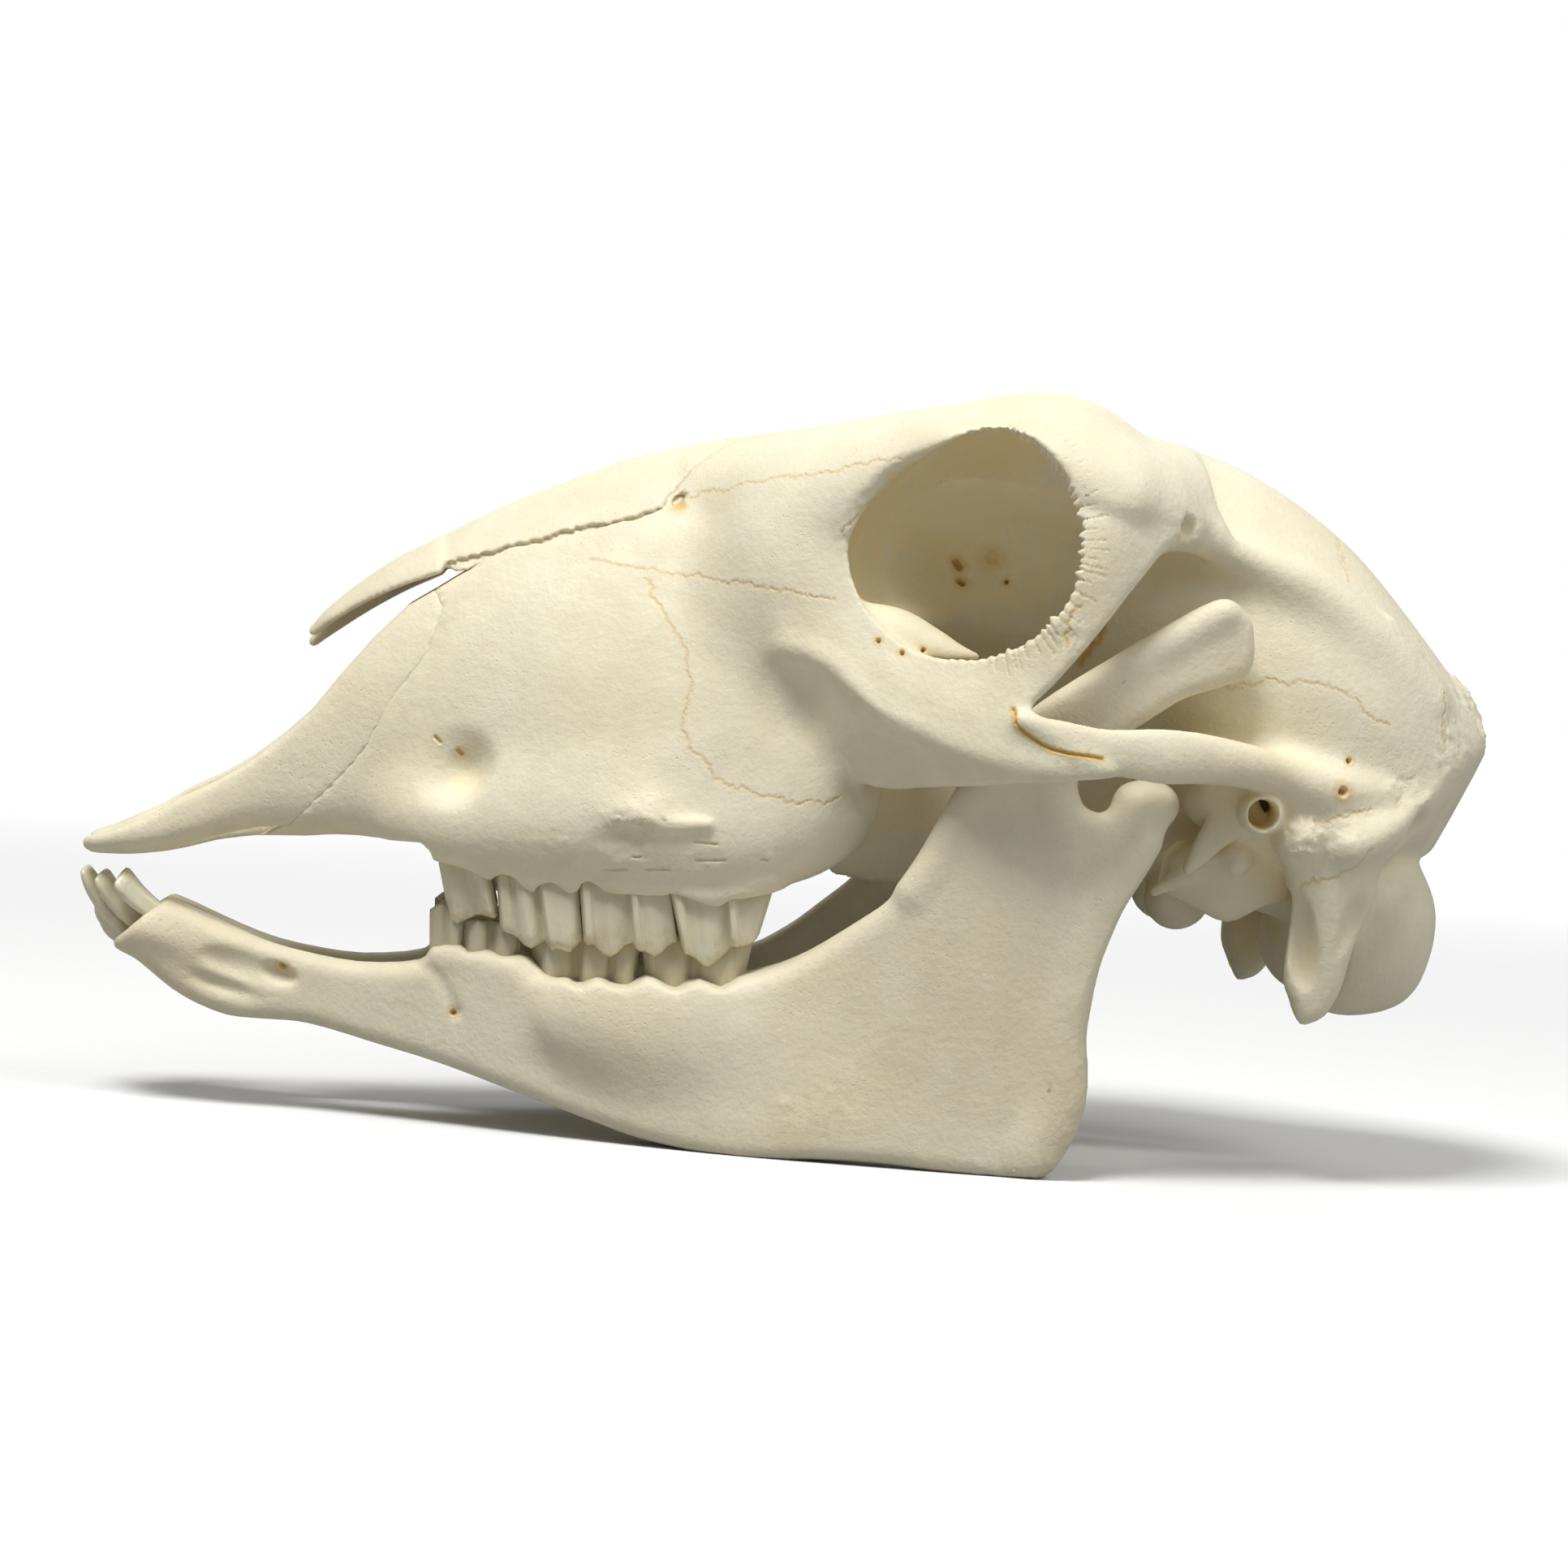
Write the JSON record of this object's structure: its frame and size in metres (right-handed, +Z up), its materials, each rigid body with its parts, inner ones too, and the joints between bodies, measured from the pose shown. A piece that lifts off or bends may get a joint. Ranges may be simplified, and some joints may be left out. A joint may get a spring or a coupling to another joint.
{
  "type": "sheep skull",
  "caption": "Life-size hornless sheep skull with its lower jaw, dry and clean, standing on the jaw as a still museum model.",
  "frame": {"origin": "centre of the bounding box on the floor, under the skull", "axes": "+X from the nose to the nape, +Y to the animal's right (its left side faces -Y and the camera), +Z up"},
  "size_m": [0.228, 0.1028, 0.1253],
  "materials": {
    "bone": "dry, slightly porous bone"
  },
  "bodies": {
    "root": {"cranium": "bone", "nasal_left": "bone", "nasal_right": "bone", "premaxilla_left": "bone", "premaxilla_right": "bone", "mandible_left": "bone", "mandible_right": "bone"}
  },
  "joints": []
}
